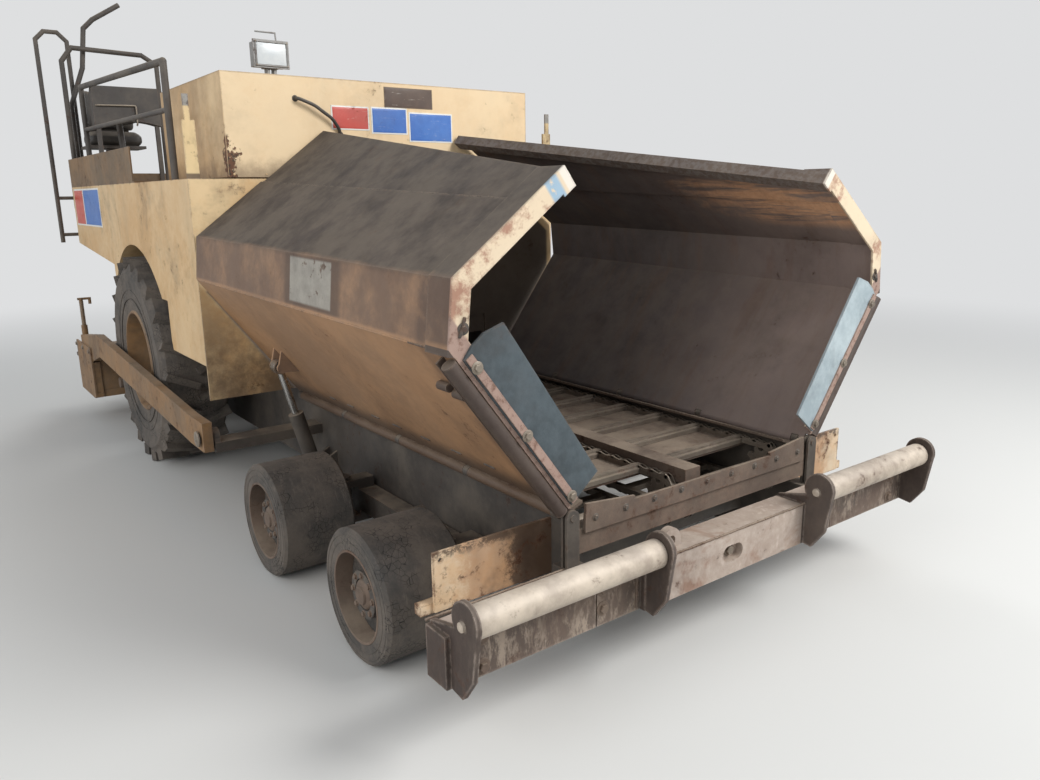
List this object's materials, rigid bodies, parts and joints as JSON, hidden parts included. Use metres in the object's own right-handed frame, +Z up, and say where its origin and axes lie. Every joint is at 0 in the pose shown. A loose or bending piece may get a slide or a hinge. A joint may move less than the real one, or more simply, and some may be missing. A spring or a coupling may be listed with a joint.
{
  "type": "asphalt paver",
  "caption": "Wheeled asphalt paver with a winged hopper, push rollers, slat conveyors, augers, a towed screed and a raised operator's platform.",
  "frame": {"origin": "on the ground at the middle of the machine's length and width", "axes": "+Z up, +Y towards the rear, the hopper faces -Y, +X to the machine's left"},
  "size_m": [2.544, 6.068, 3.1383],
  "materials": {
    "yellow_paint": "faded, chalky and stained",
    "worn_paint": "worn yellow over rust",
    "rusty_steel": "rusty and dusty",
    "dark_steel": "dark, oily and dusty",
    "bare_steel": "scraped and dull",
    "rod_chrome": "polished rod",
    "solid_tyre": "dusty black rubber",
    "flap_rubber": "blue-grey, scuffed",
    "seat_cover": "cracked black cover",
    "lamp_shell": "dull cast",
    "black_plastic": "matt"
  },
  "bodies": {
    "chassis": {"main_frame": "dark_steel", "hopper_floor": "rusty_steel", "slat_conveyors": "bare_steel", "bulkhead": "yellow_paint", "push_beam": "rusty_steel", "front_guards": "worn_paint", "front_apron": "rusty_steel", "bogie_beams": "dark_steel", "side_bodies": "yellow_paint", "engine_hood": "yellow_paint", "engine_block": "dark_steel", "deck": "worn_paint", "deck_rails": "dark_steel", "console": "dark_steel", "seat_base": "dark_steel", "seat_cushions": "seat_cover", "work_lamp": "lamp_shell", "final_drives": "dark_steel", "auger_carrier": "dark_steel"},
    "wing_left": {"wing_left": "yellow_paint", "flap_left": "flap_rubber"},
    "wing_barrel_left": {"wing_barrel_left": "dark_steel"},
    "wing_rod_left": {"wing_rod_left": "rod_chrome"},
    "push_roller_left": {"roller_left": "bare_steel"},
    "knuckle_left_1": {"knuckle_left_1": "dark_steel"},
    "front_wheel_left_1": {"front_wheel_left_1": "solid_tyre"},
    "knuckle_left_2": {"knuckle_left_2": "dark_steel"},
    "front_wheel_left_2": {"front_wheel_left_2": "solid_tyre"},
    "rear_wheel_left": {"rear_wheel_left": "solid_tyre"},
    "auger_left": {"auger_left": "rusty_steel"},
    "lift_barrel_left": {"lift_barrel_left": "dark_steel"},
    "lift_rod_left": {"lift_rod_left": "rod_chrome"},
    "wing_right": {"wing_right": "yellow_paint", "flap_right": "flap_rubber"},
    "wing_barrel_right": {"wing_barrel_right": "dark_steel"},
    "wing_rod_right": {"wing_rod_right": "rod_chrome"},
    "push_roller_right": {"roller_right": "bare_steel"},
    "knuckle_right_1": {"knuckle_right_1": "dark_steel"},
    "front_wheel_right_1": {"front_wheel_right_1": "solid_tyre"},
    "knuckle_right_2": {"knuckle_right_2": "dark_steel"},
    "front_wheel_right_2": {"front_wheel_right_2": "solid_tyre"},
    "rear_wheel_right": {"rear_wheel_right": "solid_tyre"},
    "auger_right": {"auger_right": "rusty_steel"},
    "lift_barrel_right": {"lift_barrel_right": "dark_steel"},
    "lift_rod_right": {"lift_rod_right": "rod_chrome"},
    "screed": {"tow_arms": "worn_paint", "screed_box": "worn_paint", "end_gates": "worn_paint", "walkway": "dark_steel"},
    "steering_wheel": {"steering_wheel": "black_plastic"}
  },
  "joints": [
    {"name": "wing_lift_left", "type": "hinge", "parent": "chassis", "child": "wing_left", "pos_m": [0.672, -1.616, 0.613], "axis": [0, 1, 0], "range_deg": [0, 53]},
    {"name": "wing_barrel_swing_left", "type": "hinge", "parent": "chassis", "child": "wing_barrel_left", "pos_m": [0.744, -0.806, 0.285], "axis": [0, 1, 0], "range_deg": [0, 25.82]},
    {"name": "wing_rod_slide_left", "type": "slide", "parent": "wing_barrel_left", "child": "wing_rod_left", "axis": [0.263, 0, 0.9648], "range_m": [-0.1917, 0]},
    {"name": "push_roller_turn_left", "type": "hinge", "parent": "chassis", "child": "push_roller_left", "pos_m": [0.8, -2.964, 0.495], "axis": [1, 0, 0], "continuous": true},
    {"name": "steer_left_1", "type": "hinge", "parent": "chassis", "child": "knuckle_left_1", "pos_m": [0.8, -2.186, 0.255], "axis": [0, 0, 1], "range_deg": [-20, 20]},
    {"name": "front_wheel_turn_left_1", "type": "hinge", "parent": "knuckle_left_1", "child": "front_wheel_left_1", "pos_m": [1.03, -2.186, 0.255], "axis": [1, 0, 0], "continuous": true},
    {"name": "steer_left_2", "type": "hinge", "parent": "chassis", "child": "knuckle_left_2", "pos_m": [0.8, -1.266, 0.255], "axis": [0, 0, 1], "range_deg": [-14, 14]},
    {"name": "front_wheel_turn_left_2", "type": "hinge", "parent": "knuckle_left_2", "child": "front_wheel_left_2", "pos_m": [1.03, -1.266, 0.255], "axis": [1, 0, 0], "continuous": true},
    {"name": "rear_wheel_turn_left", "type": "hinge", "parent": "chassis", "child": "rear_wheel_left", "pos_m": [0.997, 0.884, 0.655], "axis": [1, 0, 0], "continuous": true},
    {"name": "auger_turn_left", "type": "hinge", "parent": "chassis", "child": "auger_left", "pos_m": [0.6, 1.794, 0.345], "axis": [1, 0, 0], "continuous": true},
    {"name": "wing_lift_right", "type": "hinge", "parent": "chassis", "child": "wing_right", "pos_m": [-0.672, -1.616, 0.613], "axis": [0, -1, 0], "range_deg": [0, 53]},
    {"name": "wing_barrel_swing_right", "type": "hinge", "parent": "chassis", "child": "wing_barrel_right", "pos_m": [-0.744, -0.806, 0.285], "axis": [0, -1, 0], "range_deg": [0, 25.82]},
    {"name": "wing_rod_slide_right", "type": "slide", "parent": "wing_barrel_right", "child": "wing_rod_right", "axis": [-0.263, 0, 0.9648], "range_m": [-0.1917, 0]},
    {"name": "push_roller_turn_right", "type": "hinge", "parent": "chassis", "child": "push_roller_right", "pos_m": [-0.8, -2.964, 0.495], "axis": [1, 0, 0], "continuous": true},
    {"name": "steer_right_1", "type": "hinge", "parent": "chassis", "child": "knuckle_right_1", "pos_m": [-0.8, -2.186, 0.255], "axis": [0, 0, 1], "range_deg": [-20, 20]},
    {"name": "front_wheel_turn_right_1", "type": "hinge", "parent": "knuckle_right_1", "child": "front_wheel_right_1", "pos_m": [-1.03, -2.186, 0.255], "axis": [1, 0, 0], "continuous": true},
    {"name": "steer_right_2", "type": "hinge", "parent": "chassis", "child": "knuckle_right_2", "pos_m": [-0.8, -1.266, 0.255], "axis": [0, 0, 1], "range_deg": [-14, 14]},
    {"name": "front_wheel_turn_right_2", "type": "hinge", "parent": "knuckle_right_2", "child": "front_wheel_right_2", "pos_m": [-1.03, -1.266, 0.255], "axis": [1, 0, 0], "continuous": true},
    {"name": "rear_wheel_turn_right", "type": "hinge", "parent": "chassis", "child": "rear_wheel_right", "pos_m": [-0.997, 0.884, 0.655], "axis": [1, 0, 0], "continuous": true},
    {"name": "auger_turn_right", "type": "hinge", "parent": "chassis", "child": "auger_right", "pos_m": [-0.6, 1.794, 0.345], "axis": [1, 0, 0], "continuous": true},
    {"name": "screed_lift", "type": "hinge", "parent": "chassis", "child": "screed", "pos_m": [0, -0.626, 0.5], "axis": [1, 0, 0], "range_deg": [-3.4, 1.5]},
    {"name": "lift_barrel_swing_left", "type": "hinge", "parent": "chassis", "child": "lift_barrel_left", "pos_m": [0.85, 2.024, 1.5], "axis": [1, 0, 0], "range_deg": [-2.09, 0.98]},
    {"name": "lift_rod_slide_left", "type": "slide", "parent": "lift_barrel_left", "child": "lift_rod_left", "axis": [0, 0.2319, -0.9727], "range_m": [-0.0739, 0.167]},
    {"name": "lift_barrel_swing_right", "type": "hinge", "parent": "chassis", "child": "lift_barrel_right", "pos_m": [-0.85, 2.024, 1.5], "axis": [1, 0, 0], "range_deg": [-2.09, 0.98]},
    {"name": "lift_rod_slide_right", "type": "slide", "parent": "lift_barrel_right", "child": "lift_rod_right", "axis": [0, 0.2319, -0.9727], "range_m": [-0.0739, 0.167]},
    {"name": "steering_wheel_turn", "type": "hinge", "parent": "chassis", "child": "steering_wheel", "pos_m": [-0.8595, 2.13172, 2.22273], "axis": [0, 0.2079, 0.9781], "continuous": true}
  ],
  "couplings": [
    {"joint": "wing_barrel_swing_left", "follows": "wing_lift_left", "ratio": 0.48529},
    {"joint": "wing_rod_slide_left", "follows": "wing_lift_left", "m_per_rad": -0.20665},
    {"joint": "steer_left_2", "follows": "steer_left_1", "ratio": 0.7},
    {"joint": "wing_barrel_swing_right", "follows": "wing_lift_right", "ratio": 0.48529},
    {"joint": "wing_rod_slide_right", "follows": "wing_lift_right", "m_per_rad": -0.20665},
    {"joint": "steer_right_1", "follows": "steer_left_1", "ratio": 1},
    {"joint": "steer_right_2", "follows": "steer_left_1", "ratio": 0.7},
    {"joint": "lift_barrel_swing_left", "follows": "screed_lift", "ratio": 0.58448},
    {"joint": "lift_rod_slide_left", "follows": "screed_lift", "m_per_rad": -2.8052},
    {"joint": "lift_barrel_swing_right", "follows": "screed_lift", "ratio": 0.58448},
    {"joint": "lift_rod_slide_right", "follows": "screed_lift", "m_per_rad": -2.8052}
  ]
}
